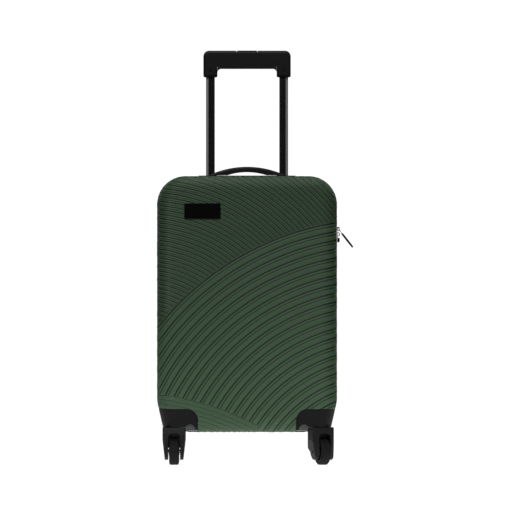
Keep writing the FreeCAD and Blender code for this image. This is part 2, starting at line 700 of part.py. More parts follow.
def tube_nodes():
    """The three telescoping tubes of each side."""
    nodes = {}
    stages = {"outer": (OUTER_TUBE, OUTER_Z), "middle": (MIDDLE_TUBE, MIDDLE_Z),
              "inner": (INNER_TUBE, INNER_Z)}
    for stage, (size, z_range) in stages.items():
        right = tube(size, z_range)
        nodes[f"{stage}_tube_right"] = right
        nodes[f"{stage}_tube_left"] = flip_x(right)
    return nodes


def shell_nodes():
    """Shells, linings and the zip band."""
    screws = housing_screws()
    return {
        "rear_shell": open_top(half_shell(BACK_EDGE_R), 0.3),
        "front_shell": flip_y(half_shell(FRONT_EDGE_R)),
        "rear_lining": open_top(half_lining(BACK_EDGE_R), 0.8),
        "front_lining": flip_y(half_lining(FRONT_EDGE_R)),
        "rear_zip_tape": zip_tape(),
        "front_zip_tape": flip_y(zip_tape()),
        "rear_zip_teeth": zip_teeth(),
        "front_zip_teeth": flip_y(zip_teeth()),
        "hinge_tape": hinge_tape(),
        "badge_plate": badge_plate(),
        "packing_straps": packing_straps(),
        "strap_buckle": strap_buckle(),
        "rear_housing_screws": both_sides(screws),
        "front_housing_screws": both_sides([flip_y(s) for s in screws]),
        "upper_slider": slider(UPPER_SLIDER_Z),
        "lower_slider": slider(LOWER_SLIDER_Z),
        "padlock_eye": padlock_eye(),
        "zip_puller": zip_puller(),
    }


def handle_nodes():
    """Tray, grip and carry handle."""
    return {
        "handle_tray": handle_tray(),
        "tube_base": tube_base(),
        "tube_cover": tube_cover(),
        "middle_collars": pair(middle_collar()),
        "grip_body": grip_body(),
        "grip_lower_cover": grip_lower_cover(),
        "grip_screws": grip_screws(),
        "release_button": release_button(),
        "push_rods": push_rods(),
        "button_springs": pair(button_spring()),
        "carry_handle": carry_handle(),
        "carry_handle_pockets": pair(carry_pocket()),
    }


def main():
    os.makedirs("parts", exist_ok=True)
    nodes = {**shell_nodes(), **handle_nodes(), **tube_nodes(), **caster_nodes()}
    for name, shape in nodes.items():
        shape.exportStep(f"parts/{name}.step")
        solids = len(shape.Solids)
        print(f"{name}: {solids} solid(s), {shape.Volume / 1000:.2f} cm3, valid {shape.isValid()}")


main()
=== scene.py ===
"""Visual model of the ribbed cabin trolley case. Metres, +Z up, front toward -Y."""
import math

import bmesh
import bpy
import numpy as np
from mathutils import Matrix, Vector, geometry, noise


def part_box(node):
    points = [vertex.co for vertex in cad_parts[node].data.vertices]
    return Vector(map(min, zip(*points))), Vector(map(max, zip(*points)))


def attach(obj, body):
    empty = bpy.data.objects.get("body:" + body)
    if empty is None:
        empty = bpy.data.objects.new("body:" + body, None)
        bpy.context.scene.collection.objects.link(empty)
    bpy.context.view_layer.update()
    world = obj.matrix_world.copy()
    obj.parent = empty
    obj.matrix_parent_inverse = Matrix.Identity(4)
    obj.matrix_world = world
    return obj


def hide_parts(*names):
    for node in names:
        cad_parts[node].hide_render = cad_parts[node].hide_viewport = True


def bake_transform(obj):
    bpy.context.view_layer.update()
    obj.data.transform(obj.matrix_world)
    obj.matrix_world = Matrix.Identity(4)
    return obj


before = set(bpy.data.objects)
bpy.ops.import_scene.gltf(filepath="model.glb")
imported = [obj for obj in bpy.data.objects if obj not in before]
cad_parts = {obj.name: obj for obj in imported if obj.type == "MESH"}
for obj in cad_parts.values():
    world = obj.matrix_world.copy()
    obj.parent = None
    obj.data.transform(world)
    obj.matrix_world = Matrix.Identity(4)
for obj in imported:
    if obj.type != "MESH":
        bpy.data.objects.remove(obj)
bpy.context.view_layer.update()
X_AXIS, Y_AXIS, Z_AXIS = np.eye(3)

# ------ sizes taken from the frame
FRONT_LO, FRONT_HI = np.array(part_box("front_shell"))
HOUSING_LO, HOUSING_HI = np.array(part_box("rear_right_housing"))
TRAY_LO, TRAY_HI = np.array(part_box("handle_tray"))
POCKETS_LO, POCKETS_HI = np.array(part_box("carry_handle_pockets"))
HINGE_LO, HINGE_HI = np.array(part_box("hinge_tape"))
STRAPS_LO, STRAPS_HI = np.array(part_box("packing_straps"))
PULL_LO, PULL_HI = np.array(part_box("zip_puller"))
HALF_W = FRONT_HI[0]
CASE_BOTTOM, CASE_TOP = FRONT_LO[2], FRONT_HI[2]
HALF_D = -FRONT_LO[1]
RIM_Y = -FRONT_HI[1]

# ------ shells
TOP_R = 0.054  # upper and lower corners, seen from the front
BOTTOM_R = 0.066
EDGE_R = {"front": 0.028, "rear": 0.016}
SHELL_T = 0.0025
WELL_GAP = 0.0004  # between a shell and a wheel housing
WELL_R = 0.021
HOLE_GAP = 0.0003  # round the tray and the carry handle's pockets
TRAY_RIM = (0.005, 0.003)  # how far the tray's rim lies over the shell, in x and y
POCKET_RIM = (0.003, 0.0025)
POCKET_LENGTH = 0.021  # from the pocket's outer end to the inner side of its hole

# Rib fields: circles round a centre in the XZ plane, the first groove's radius, the spacing, the groove pair
# as (place, half width, depth), the strength of the painted groove shade, and the radii that the field lies
# between
FAN = {"centre": (-0.1935, 0.1806), "first": 0.1985, "step": 0.00824, "painted_shade": 1.0, "radii": (0.02, 0.60),
       "pair": ((0.0, 0.0017, 0.0014), (0.0036, 0.0014, 0.0009))}
SWEEP = {"centre": (0.258, -0.080), "first": 0.5475, "step": -0.016385, "painted_shade": 1.0, "radii": (0.12, 0.5499),
         "pair": ((0.0, 0.0022, 0.0019), (-0.0054, 0.0019, 0.0014))}
HEEL = {"centre": (-0.231, -0.391), "first": 0.5285, "step": -0.0082, "painted_shade": 0.5, "radii": (0.40, 0.5300),
        "pair": ((0.0, 0.0016, 0.0011), (-0.0036, 0.0013, 0.0006))}
FIELDS = (FAN, SWEEP, HEEL)
HEEL_X = 0.02  # the heel field lies left of this place
MOST_RIBS = 80  # more than any field has on one side of its first groove
GROOVE_FLANK = 0.62  # sloping share of a groove's half width
CREST_MARGIN = 0.0004
WALL_STEPS = 7  # divisions of the rib lines over the side wall
RIM_PLAIN = 0.004  # the grooves end this far from the rim
RIM_FADE = 0.008  # after fading out over this
# how far the shell's colour is darkened by shade painted into the rib grooves
GROOVE_PAINTED_SHADE = 0.8
BORDER_CLEAR = 0.003  # no loose mesh points this near a border

# ------ zip
TAPE_INSET = 0.0012
TAPE_SECTION = ((0.0, 0.0009), (0.0001, 0.002), (0.0, 0.0034), (0.0, 0.0048), (-0.0014, 0.0048),
                (-0.0014, 0.0009))  # out and |y|
STITCH_Y = 0.0038
RIM_STITCH = {"pitch": 0.0034, "length": 0.0027, "radius": 0.00028}
TEETH_INSET = 0.00045
TEETH_PITCH = 0.0024
TOOTH = ((-0.00062, 0.00028, 0.0004), (-0.00045, 0.00044, 0.00056), (-0.00005, 0.00044, 0.00058),
         (0.0004, 0.00032, 0.0005), (0.0013, 0.00034, 0.0005), (0.0021, 0.00044, 0.00042),
         (0.0026, 0.0004, 0.0003))  # along y, half width, half height
PULL_END, PULL_TIP = 0.0009, 0.001  # ends of the puller's middle line, from its box's corners
WIRE_R = 0.00062
WIRE_LOOP = (0.0062, 0.0021)  # half length and half width
RIDGE_PITCH = 0.0026
BOSS_X = (0.0011, 0.0016)  # half widths at the boss's ends and middle
BOSS_PLACE = 0.56  # its share of the slider's width

# ------ lining, welts and straps
LINING_GROW = 0.0016  # openings of the lining beyond the shell's
LINING_T = 0.0006
LINING_GAP = 0.0009  # behind the shell where the cloth lies flat
LINING_ROOM = {"front": 0.0034, "rear": 0.0011}  # depth of the folds
LINING_CALM = 0.018  # the cloth lies flat this near its seams
LINING_STEP = 0.006
LINING_INSET = SHELL_T + 0.0012  # wheel housing covers, from the outside of the case
SEAM_R = 0.006
COVER_Y = HOUSING_LO[1] - WELL_GAP - LINING_GROW  # |y| of the covers' faces
COVER_STEP = 0.005
COVER_CLEAR = 0.0028  # no grid points this near the cover's border
COVER_FOLD = 0.0008
COVER_REACH = 0.004  # the cover goes at least this far past its bend
WELT_INSET, WELT_Y, WELT_R = 0.0042, RIM_Y + 0.0022, 0.0011
COVER_WELT_R = 0.0009
COVER_WELT_SHIFT = 0.0012  # outward and down from the cover's seam
COVER_WELT_Y = 0.0006
HINGE_CLEAR = (0.0001, 0.0005)  # in from the hinge's CAD box, in x and y
RIPPLE, RIPPLE_RATE = 0.00012, 900  # waves of the hinge cloth: height, and radians per metre
STRAP_WIDTH, STRAP_T = 0.0235, 0.0012
STRAP_REACH = (0.0375, 0.2275)  # from the middle of the cross
STRAP_SLOPE = (0.152, 0.0, 0.170)
SEWN_REACH = (0.212, 0.224)
STRAP_STITCH = {"pitch": 0.003, "length": 0.0024, "radius": 0.0003}

# ------ studio
WORLD_LIGHT = 0.04  # the world lights the case this much
BACKDROP = 1.05  # and is seen this bright
FLOOR_R = 0.55
FLOOR_GLOW, EDGE_GLOW = 0.8, 0.25  # glow of the floor, and what its edge has more
CAMERA_DISTANCE, FRAMED_WIDTH = 40.0, 0.9743
CAMERA_X, CAMERA_Z = 0.0171, 0.3977
SENSOR = 36.0


def link(name, data):
    """Object with its data, in the scene."""
    obj = bpy.data.objects.new(name, data)
    bpy.context.scene.collection.objects.link(obj)
    return obj


def new_object(name, vertices, faces, smooth=True):
    """Mesh object from points and faces."""
    mesh = bpy.data.meshes.new(name)
    mesh.from_pydata([tuple(v) for v in vertices], [], [tuple(int(i) for i in f) for f in faces])
    mesh.validate()
    mesh.update()
    if smooth:
        mesh.polygons.foreach_set("use_smooth", [True] * len(mesh.polygons))
    return link(name, mesh)


# ------ the case outline, unrolled
class CaseSide:
    """Outer surface of one half case. The flat face lies inside a loop; beyond it the rounded edge and the
    side wall are unrolled outward, so a point is (x, z) with its distance past the loop."""

    def __init__(self, side):
        self.edge = EDGE_R[side]
        self.sign = -1.0 if side == "front" else 1.0
        self.half = HALF_W - self.edge
        self.low, self.high = CASE_BOTTOM + self.edge, CASE_TOP - self.edge
        self.top_r, self.bottom_r = TOP_R - self.edge, BOTTOM_R - self.edge
        self.side_start = self.edge * math.pi / 2
        self.rim = self.side_start + HALF_D - self.edge - RIM_Y

    def reach(self, x, z):
        """Distance past the loop and the outward direction, for arrays of points."""
        sx = np.where(x < 0, -1.0, 1.0)
        upper = z > (self.low + self.high) / 2
        r = np.where(upper, self.top_r, self.bottom_r)
        sz = np.where(upper, 1.0, -1.0)
        dx = np.abs(x) - (self.half - r)
        dz = np.where(upper, z - (self.high - r), (self.low + r) - z)
        corner = (dx > 0) & (dz > 0)
        length = np.maximum(np.hypot(dx, dz), 1e-12)
        flat_side = dx > dz
        d = np.where(corner, length - r, np.where(flat_side, dx - r, dz - r))
        nx = np.where(corner, dx / length, np.where(flat_side, 1.0, 0.0)) * sx
        nz = np.where(corner, dz / length, np.where(flat_side, 0.0, 1.0)) * sz
        return d, nx, nz

    def unroll(self, x, z):
        """Unrolled place of a point of the front view that is inside the outline."""
        d, nx, nz = self.reach(x, z)
        bent = self.edge * np.arcsin(np.clip(d / self.edge, 0, 1))
        move = np.where(d > 0, bent - d, 0.0)
        return x + nx * move, z + nz * move

    def place(self, u, v):
        """Front-view x and z, depth y and outward normal of unrolled points."""
        d, nx, nz = self.reach(u, v)
        turn = np.clip(d / self.edge, 0, math.pi / 2)
        out = np.where(d > 0, self.edge * np.sin(turn), d)
        x, z = u + nx * (out - d), v + nz * (out - d)
        y = HALF_D - self.edge * (1 - np.cos(turn)) - np.clip(d - self.side_start, 0, None)
        lean = np.where(d > 0, np.sin(turn), 0.0)
        normal = np.stack([nx * lean, self.sign * np.cos(turn) * np.ones_like(lean), nz * lean], 1)
        return x, z, self.sign * y, normal, d

    def outline_loop(self, d, step=0.006):
        """Points round the case at one distance past the loop, for one turn."""
        parts = []
        for start, sx, sz in ((0, 1, 1), (90, -1, 1), (180, -1, -1), (270, 1, -1)):
            r = self.top_r if sz > 0 else self.bottom_r
            cx, cz = sx * (self.half - r), self.high - r if sz > 0 else self.low + r
            n = max(6, int((r + d) * math.pi / 2 / step))
            a = np.radians(start + np.linspace(0, 90, n + 1))
            parts.append(np.stack([cx + (r + d) * np.cos(a), cz + (r + d) * np.sin(a)], 1))
        points = []
        for a, b in zip(parts, parts[1:] + parts[:1]):
            points.extend(a)
            n = int(np.linalg.norm(b[0] - a[-1]) / step)
            points.extend(a[-1] + (b[0] - a[-1]) * t for t in np.linspace(0, 1, n + 1)[1:-1])
        return np.array(points)


def radius_to(field, x, z):
    """Distance from a rib field's centre."""
    return np.hypot(x - field["centre"][0], z - field["centre"][1])


def field_of(x, z):
    """0 for the fan at the upper left, 1 for the large sweep, 2 for the heel at the lower left."""
    in_heel = (radius_to(HEEL, x, z) < HEEL["radii"][1]) & (x < HEEL_X)
    in_sweep = radius_to(SWEEP, x, z) < SWEEP["radii"][1]
    return np.where(in_heel, 2, np.where(in_sweep, 1, 0))


def groove_depth(field, x, z):
    """Depth of the groove pairs of one field."""
    r = radius_to(field, x, z)
    period = abs(field["step"])
    depth = np.zeros_like(r)
    for offset, half_width, deep in field["pair"]:
        away = np.abs((r - field["first"] - offset + period / 2) % period - period / 2)
        t = np.clip((half_width - away) / (half_width * GROOVE_FLANK), 0, 1)
        depth = np.maximum(depth, deep * t)
    return depth


def rib_depth(x, z):
    """Groove depth, and the strength of the shade painted into the groove, from 0 to 1."""
    which = field_of(x, z)
    depth, painted_shade = np.zeros(len(x)), np.zeros(len(x))
    for number, field in enumerate(FIELDS):
        value = groove_depth(field, x, z)
        depth = np.where(which == number, value, depth)
        painted_shade = np.where(which == number, value / field["pair"][0][2] * field["painted_shade"], painted_shade)
    return depth, painted_shade


def profile_offsets(field):
    """Radii of one period at which the groove profile bends, with a line on each crest and flat band."""
    offsets = []
    low_pair, high_pair = sorted(field["pair"])
    for offset, half_width, _ in (low_pair, high_pair):
        flat = half_width * (1 - GROOVE_FLANK)
        offsets += [offset - half_width, offset - flat, offset + flat, offset + half_width]
    low, high = min(offsets), max(offsets)
    crest = (low_pair[0] + low_pair[1] + high_pair[0] - high_pair[1]) / 2
    band = (high + low + abs(field["step"])) / 2
    return offsets + [low - CREST_MARGIN, high + CREST_MARGIN, crest, band]


def field_radii(field):
    """Radii of all the profile lines of one rib field."""
    period, (low, high) = abs(field["step"]), field["radii"]
    reach = MOST_RIBS * period
    for base in np.arange(field["first"] - reach, field["first"] + reach, period):
        for offset in profile_offsets(field):
            if low < base + offset < high:
                yield base + offset


def runs(mask):
    """Start and end of each stretch of True values."""
    edges = np.flatnonzero(np.diff(np.concatenate([[0], mask.astype(int), [0]])))
    return zip(edges[::2], edges[1::2])


def arc_lines(number, inside, step=0.005, finer=4):
    """Arcs of one rib field as polylines of the front view, clipped to the field and the outline. `finer`
    times as many points are tested as are kept."""
    field = FIELDS[number]
    cx, cz = field["centre"]
    for r in field_radii(field):
        n = int(2 * math.pi * r / (step / finer))
        a = np.linspace(0, 2 * math.pi, n, endpoint=False)
        x, z = cx + r * np.cos(a), cz + r * np.sin(a)
        ok = (np.abs(x) < HALF_W) & (z > CASE_BOTTOM) & (z < CASE_TOP)
        if not ok.any():
            continue
        ok &= inside(x, z) & (field_of(x, z) == number)
        if ok[0] and ok[-1]:
            turn = int(np.flatnonzero(~ok)[0])
            x, z, ok = (np.roll(row, -turn) for row in (x, z, ok))
        for start, end in runs(ok):
            if end - start < 2 * finer:
                continue
            picked = sorted(set(range(start, end, finer)) | {end - 1})
            yield x[picked], z[picked]


def unrolled_ribs(side):
    """Rib lines of one half case in unrolled places, carried over the side wall close to the rim."""
    def inside(x, z):
        return side.reach(x, z)[0] < side.edge * 0.9995     # just short of where the edge turns vertical

    wall = np.linspace(side.side_start, side.rim - (RIM_PLAIN + RIM_FADE), WALL_STEPS)
    fade = [*wall[1:], side.rim - (RIM_PLAIN + RIM_FADE / 2), side.rim - RIM_PLAIN]
    for number in range(len(FIELDS)):
        for x, z in arc_lines(number, inside):
            line = np.stack(side.unroll(x, z), 1)
            for end in (0, -1):
                d, nx, nz = side.reach(x[[end]], z[[end]])
                if d[0] < side.edge * 0.985:                # this end isn't at the outline
                    continue
                normal = np.array([nx[0], nz[0]])
                start = line[end] + normal * (side.side_start - side.reach(*line[[end]].T)[0][0])
                more = [start] + [start + normal * (f - side.side_start) for f in fade]
                line = np.vstack([line, more]) if end == -1 else np.vstack([more[::-1], line])
            yield line


def well_face(grow, inset):
    """Front-view line round a wheel housing on the +X side: up its inner side, over it, out to the wall."""
    x_in, top, r = HOUSING_LO[0] - WELL_GAP - grow, HOUSING_HI[2] + WELL_GAP + grow, WELL_R + grow
    low, centre_z = CASE_BOTTOM + inset, CASE_BOTTOM + BOTTOM_R
    x_out = HALF_W - BOTTOM_R + math.sqrt((BOTTOM_R - inset) ** 2 - (centre_z - top) ** 2)
    up = [(x_in, z) for z in np.linspace(low, top - r, 10)[:-1]]
    turn = np.radians(np.linspace(0, 90, 13))
    curve = [(x_in + r - r * math.cos(t), top - r + r * math.sin(t)) for t in turn]
    across = [(x, top) for x in np.linspace(x_in + r, x_out, 14)[1:]]
    return np.array(up + curve + across)


def well_loop(side, sign, grow=0.0):
    """Unrolled outline of the opening for one caster housing."""
    depth = HALF_D - side.edge - (HOUSING_LO[1] - WELL_GAP - grow) + side.side_start
    face = well_face(grow, 1e-6)
    loop = np.stack(side.unroll(face[:, 0] * sign, face[:, 1]), 1)

    def outward(point, d):
        reach, nx, nz = side.reach(*point[None].T)
        return point + np.array([nx[0], nz[0]]) * (d - reach[0])

    far_first, far_last = outward(loop[0], depth), outward(loop[-1], depth)
    corner = np.array([sign * (side.half - side.bottom_r), side.low + side.bottom_r])
    start = math.atan2(*(far_last - corner)[::-1])
    if sign < 0 < start:
        start -= 2 * math.pi
    turn = np.linspace(start, -math.pi / 2, 24)
    around = corner + np.linalg.norm(far_last - corner) * np.stack([np.cos(turn), np.sin(turn)], 1)
    return np.vstack([loop, around, far_first[None]])


def top_hole(side, x0, x1, y0, y1):
    """Unrolled rectangle in the top wall."""
    def out(y):
        return side.high + side.side_start + HALF_D - side.edge - y
    return np.array([(x0, out(y0)), (x1, out(y0)), (x1, out(y1)), (x0, out(y1))])


def inside_loop(points, loop):
    """Which points lie inside a closed loop."""
    x, z = points[:, 0], points[:, 1]
    result = np.zeros(len(points), bool)
    for (x0, z0), (x1, z1) in zip(loop, np.roll(loop, -1, 0)):
        if z0 == z1:
            continue
        crosses = (z0 > z) != (z1 > z)
        result ^= crosses & (x < (x1 - x0) * (z - z0) / (z1 - z0) + x0)
    return result


def triangulate(lines, loops, loose, wanted):
    """Triangles over polylines, closed loops and loose points; wanted() picks them by their middles."""
    points, edges = [], []
    for line in lines:
        edges += [(len(points) + i, len(points) + i + 1) for i in range(len(line) - 1)]
        points += list(line)
    for loop in loops:
        n = len(loop)
        edges += [(len(points) + i, len(points) + (i + 1) % n) for i in range(n)]
        points += list(loop)
    points += list(loose)
    scale = 100.0           # brings the places near 1, where the triangulation's tolerance fits
    flat = [Vector((float(a) * scale, float(b) * scale)) for a, b in points]
    result = geometry.delaunay_2d_cdt(flat, edges, [], 0, 1e-5, True)
    vertices = np.array([tuple(v) for v in result[0]]) / scale
    faces = np.array([f for f in result[2] if len(f) == 3])
    middles = vertices[faces].mean(1)
    faces = faces[wanted(middles)]
    a, b, c = (vertices[faces[:, i]] for i in range(3))
    area = (b[:, 0] - a[:, 0]) * (c[:, 1] - a[:, 1]) - (b[:, 1] - a[:, 1]) * (c[:, 0] - a[:, 0])
    faces[area < 0] = faces[area < 0][:, ::-1]
    faces = faces[np.abs(area) > 1e-12]
    used, compact = np.unique(faces, return_inverse=True)
    return vertices[used], compact.reshape(faces.shape)


def boundary_loops(faces):
    """Closed loops of the edges that only one face has, in the faces' direction."""
    directed = dict.fromkeys(edge for a, b, c in faces for edge in ((a, b), (b, c), (c, a)))
    following = {a: b for a, b in directed if (b, a) not in directed}
    loops = []
    while following:
        start, here = next(iter(following.items()))
        del following[start]
        loop = [start]
        while here != start and here in following:
            loop.append(here)
            here = following.pop(here)
        loops.append(loop)
    return loops


def nearest(points, places):
    """Distance from each point to the nearest of the places."""
    return np.array([np.min(np.hypot(*(places - p).T)) for p in points])


def loose_points(side, holes, loops, spacing=0.014):
    """Coarse points for a smooth skin: a grid on the flat face and rings over the rounded edge and wall."""
    rings = [side.outline_loop(d, spacing) for d in np.linspace(0, side.side_start, 7)]
    rings += [side.outline_loop(d, spacing) for d in np.linspace(side.side_start, side.rim, 7)[1:-1]]
    xs = np.arange(-side.half + spacing, side.half - spacing / 2, spacing)
    zs = np.arange(side.low + spacing, side.high - spacing / 2, spacing)
    grid = np.array([(x, z) for x in xs for z in zs])
    grid = grid[side.reach(*grid.T)[0] < -spacing / 2]
    points = np.vstack([grid] + rings)
    for hole in holes:
        points = points[~inside_loop(points, hole)]
    return points[nearest(points, np.vstack(loops)) >= BORDER_CLEAR]


def case_holes(side, name, grow):
    """Openings for the wheel housings and, in the rear half, for the tray and the carry handle's pockets."""
    holes = [well_loop(side, sign, grow) for sign in (1, -1)]
    if name == "rear":
        gap = grow + HOLE_GAP
        rim_x, rim_y = TRAY_RIM
        holes.append(top_hole(side, TRAY_LO[0] + rim_x - gap, TRAY_HI[0] - rim_x + gap,
                              TRAY_LO[1] + rim_y - gap, TRAY_HI[1] - rim_y + gap))
        rim_x, rim_y = POCKET_RIM
        outer, inner = POCKETS_HI[0] - rim_x + gap, POCKETS_HI[0] - POCKET_LENGTH - gap
        for sign in (1, -1):
            x0, x1 = sorted((sign * outer, sign * inner))
            holes.append(top_hole(side, x0, x1, POCKETS_LO[1] + rim_y - gap, POCKETS_HI[1] - rim_y + gap))
    return holes


def within(side, holes):
    """Test for the middles of triangles: short of the rim and outside every hole."""
    def test(middles):
        ok = side.reach(*middles.T)[0] < side.rim
        for hole in holes:
            ok &= ~inside_loop(middles, hole)
        return ok
    return test


def place_key(point):
    """Unrolled place in hundredths of a millimetre, to find the same point in another mesh."""
    return tuple(np.round(point * 1e5).astype(int))


def case_shell(name):
    """Moulded shell with its rib grooves, a plain inside and closed edges."""
    side = CaseSide(name)
    holes = case_holes(side, name, 0.0)
    rim = side.outline_loop(side.rim, 0.004)
    wanted = within(side, holes)
    flat, faces = triangulate(unrolled_ribs(side), holes + [rim], [], wanted)
    x, z, y, normal, d = side.place(*flat.T)
    fade = np.clip((side.rim - RIM_PLAIN - d) / RIM_FADE, 0, 1)
    depth, painted_shade = rib_depth(x, z)
    outer = np.stack([x, y, z], 1) - normal * (depth * fade)[:, None]

    loops = boundary_loops(faces)
    borders = [flat[loop] for loop in loops]
    inner_flat, inner_faces = triangulate([], borders, loose_points(side, holes, borders), wanted)
    ix, iz, iy, inner_normal, _ = side.place(*inner_flat.T)
    inner = np.stack([ix, iy, iz], 1) - inner_normal * SHELL_T

    keys = {place_key(p): i for i, p in enumerate(inner_flat)}
    shift = len(outer)
    walls = []
    for loop in loops:
        pairs = [(i, keys.get(place_key(flat[i]))) for i in loop]
        for (a, ia), (b, ib) in zip(pairs, pairs[1:] + pairs[:1]):
            if ia is not None and ib is not None:
                walls.append((b, a, ia + shift, ib + shift))
    flip = 1 if name == "front" else -1
    everything = [*faces[:, ::flip], *(inner_faces[:, ::-flip] + shift), *(w[::flip] for w in walls)]
    shell = new_object(f"{name}_shell_ribbed", np.vstack([outer, inner]), everything)
    # each outer point keeps the strength of the shade painted into its groove, for the shell's material
    marks = shell.data.attributes.new("groove", "FLOAT", "POINT")
    marks.data.foreach_set("value", np.concatenate([painted_shade * fade, np.zeros(len(inner))]).astype(np.float32))
    return shell


# ------ sweeps, threads and cloth
def lengths_along(points):
    """Length of a line up to each of its points."""
    return np.concatenate([[0], np.cumsum(np.linalg.norm(np.diff(points, axis=0), axis=1))])


def outline(inset, step):
    """Points, outward directions and arc lengths of the case outline, for one turn."""
    side = CaseSide("front")
    points = side.outline_loop(side.edge - inset, step)
    _, nx, nz = side.reach(*points.T)
    return points, np.stack([nx, nz], 1), lengths_along(np.vstack([points, points[:1]]))


def spaced(at, along, values):
    """Rows of values, known along a line, at other places of it."""
    return np.stack([np.interp(at, along, column) for column in np.array(values).T], 1)


def even_outline(inset, pitch):
    """Evenly spaced points of the outline and their outward directions."""
    points, normals, along = outline(inset, 0.002)
    n = int(along[-1] / pitch)
    at = np.arange(n) * along[-1] / n
    place = spaced(at, along, np.vstack([points, points[:1]]))
    direction = spaced(at, along, np.vstack([normals, normals[:1]]))
    return place, direction / np.linalg.norm(direction, axis=1)[:, None]


def mark_weave(obj, uv):
    """Keep each point's place on the flat cloth, for the weave of its material."""
    layer = obj.data.attributes.new("weave", "FLOAT_VECTOR", "POINT")
    flat = np.zeros((len(uv), 3), np.float32)
    flat[:, :2] = uv
    layer.data.foreach_set("vector", flat.ravel())


def grid_faces(rows, columns, wrap_rows, wrap_columns):
    """Quads of a grid of points kept row by row."""
    faces = []
    for i in range(rows if wrap_rows else rows - 1):
        for j in range(columns if wrap_columns else columns - 1):
            k, m = (i + 1) % rows, (j + 1) % columns
            faces.append((i * columns + j, i * columns + m, k * columns + m, k * columns + j))
    return faces


def swept_faces(rows, sides, closed=False):
    """Faces of a swept section, with both ends capped unless it closes on itself."""
    faces = grid_faces(rows, sides, closed, True)
    if not closed:
        end = rows * sides
        faces += [tuple(range(sides)), tuple(range(end - 1, end - sides - 1, -1))]
    return faces


def zip_tape(name, sign):
    """Woven tape that follows the outline."""
    points, normals, along = outline(TAPE_INSET, 0.003)
    vertices, uv = [], []
    for (x, z), (nx, nz), s in zip(points, normals, along):
        for out, y in TAPE_SECTION:
            vertices.append((x + nx * out, sign * y, z + nz * out))
            uv.append((s, y))
    tape = new_object(name, vertices, grid_faces(len(points), len(TAPE_SECTION), True, True))
    mark_weave(tape, uv)
    return tape


def tube_along(name, points, radius, sides=8, closed=False):
    """Round strand along 3-D points."""
    points = np.array(points, float)
    ahead = np.roll(points, -1, 0) - points
    if not closed:
        ahead[-1] = ahead[-2]
    tangent = ahead / np.linalg.norm(ahead, axis=1)[:, None]
    tangent = tangent + np.roll(tangent, 1, 0) if closed else tangent
    up = Y_AXIS if abs(tangent[0][1]) < 0.9 else X_AXIS
    vertices = []
    for p, t in zip(points, tangent):
        t = t / np.linalg.norm(t)
        across = np.cross(t, up)
        across /= np.linalg.norm(across)
        up = np.cross(across, t)
        for a in np.linspace(0, 2 * math.pi, sides, endpoint=False):
            vertices.append(p + radius * (math.cos(a) * across + math.sin(a) * up))
    return new_object(name, vertices, swept_faces(len(points), sides, closed))


def beads(name, places, frames, profile, sides=6):
    """Many small turned shapes in one piece; profile gives (along, half width, half height) stations."""
    vertices, faces = [], []
    turn = np.linspace(0, 2 * math.pi, sides, endpoint=False)
    for place, (along, across, up) in zip(places, frames):
        base = len(vertices)
        for t, width, height in profile:
            for a in turn:
                around = across * (width * math.cos(a)) + up * (height * math.sin(a))
                vertices.append(place + along * t + around)
        faces += [tuple(base + i for i in f) for f in grid_faces(len(profile), sides, False, True)]
        last = base + (len(profile) - 1) * sides
        faces += [tuple(range(base + sides - 1, base - 1, -1)), tuple(range(last, last + sides))]
    return new_object(name, vertices, faces)


def zip_teeth(name, sign):
    """Moulded nylon teeth of one half, which stand between the other half's teeth."""
    places, outs = even_outline(TEETH_INSET, TEETH_PITCH)
    shift = 0.0 if sign > 0 else 0.5
    points, frames = [], []
    for place, after, (out_x, out_z) in zip(places, np.roll(places, -1, 0), outs):
        at = place * (1 - shift) + after * shift
        if at[0] < -HALF_W * 2 / 3 and HINGE_LO[2] < at[1] < HINGE_HI[2]:
            continue
        out = np.array([out_x, 0.0, out_z])
        points.append(np.array([at[0], 0.0, at[1]]))
        frames.append((np.array([0.0, float(sign), 0.0]), np.array([-out[2], 0.0, out[0]]), out))
    return beads(name, points, frames, TOOTH)


def stitch_row(name, points, outward, pitch, length, radius):
    """Row of sewn stitches that lie along 3-D points."""
    points = np.array(points)
    along = lengths_along(points)
    at = np.arange(pitch / 2, along[-1], pitch)
    middle = spaced(at, along, points)
    ends = spaced(at + length / 2, along, points)
    frames = []
    for m, e, out in zip(middle, ends, spaced(at, along, outward)):
        t = (e - m) / max(np.linalg.norm(e - m), 1e-9)
        out = out - t * (out @ t)
        out /= np.linalg.norm(out)
        frames.append((t, np.cross(out, t), out))
    profile = [(-length / 2, radius * 0.3, radius * 0.3), (-length / 3, radius, radius * 0.9),
               (length / 3, radius, radius * 0.9), (length / 2, radius * 0.3, radius * 0.3)]
    return beads(name, middle, frames, profile)


def rim_stitches(name, sign):
    """Row of stitches round one zip tape."""
    points, normals, _ = outline(TAPE_INSET, 0.003)
    line = [(x, sign * STITCH_Y, z) for x, z in points]
    outward = [(nx, 0.0, nz) for nx, nz in normals]
    return stitch_row(name, line, outward, **RIM_STITCH)


def folds(u, v, seed):
    """Soft irregular folds of loose cloth, from 0 to about 1."""
    value = []
    for a, b in zip(u, v):
        wide = noise.noise(Vector((a * 9, b * 14, seed)))
        fine = noise.noise(Vector((a * 31 + 2 * wide, b * 22 - wide, seed + 7)))
        crease = 1 - abs(noise.noise(Vector((a * 24 + b * 9 + wide, b * 13 - a * 5, seed + 3)))) * 3
        value.append(0.35 + 0.45 * wide + 0.25 * fine + 0.5 * max(crease, 0) ** 3)
    return np.clip(np.array(value), 0, 1.2)


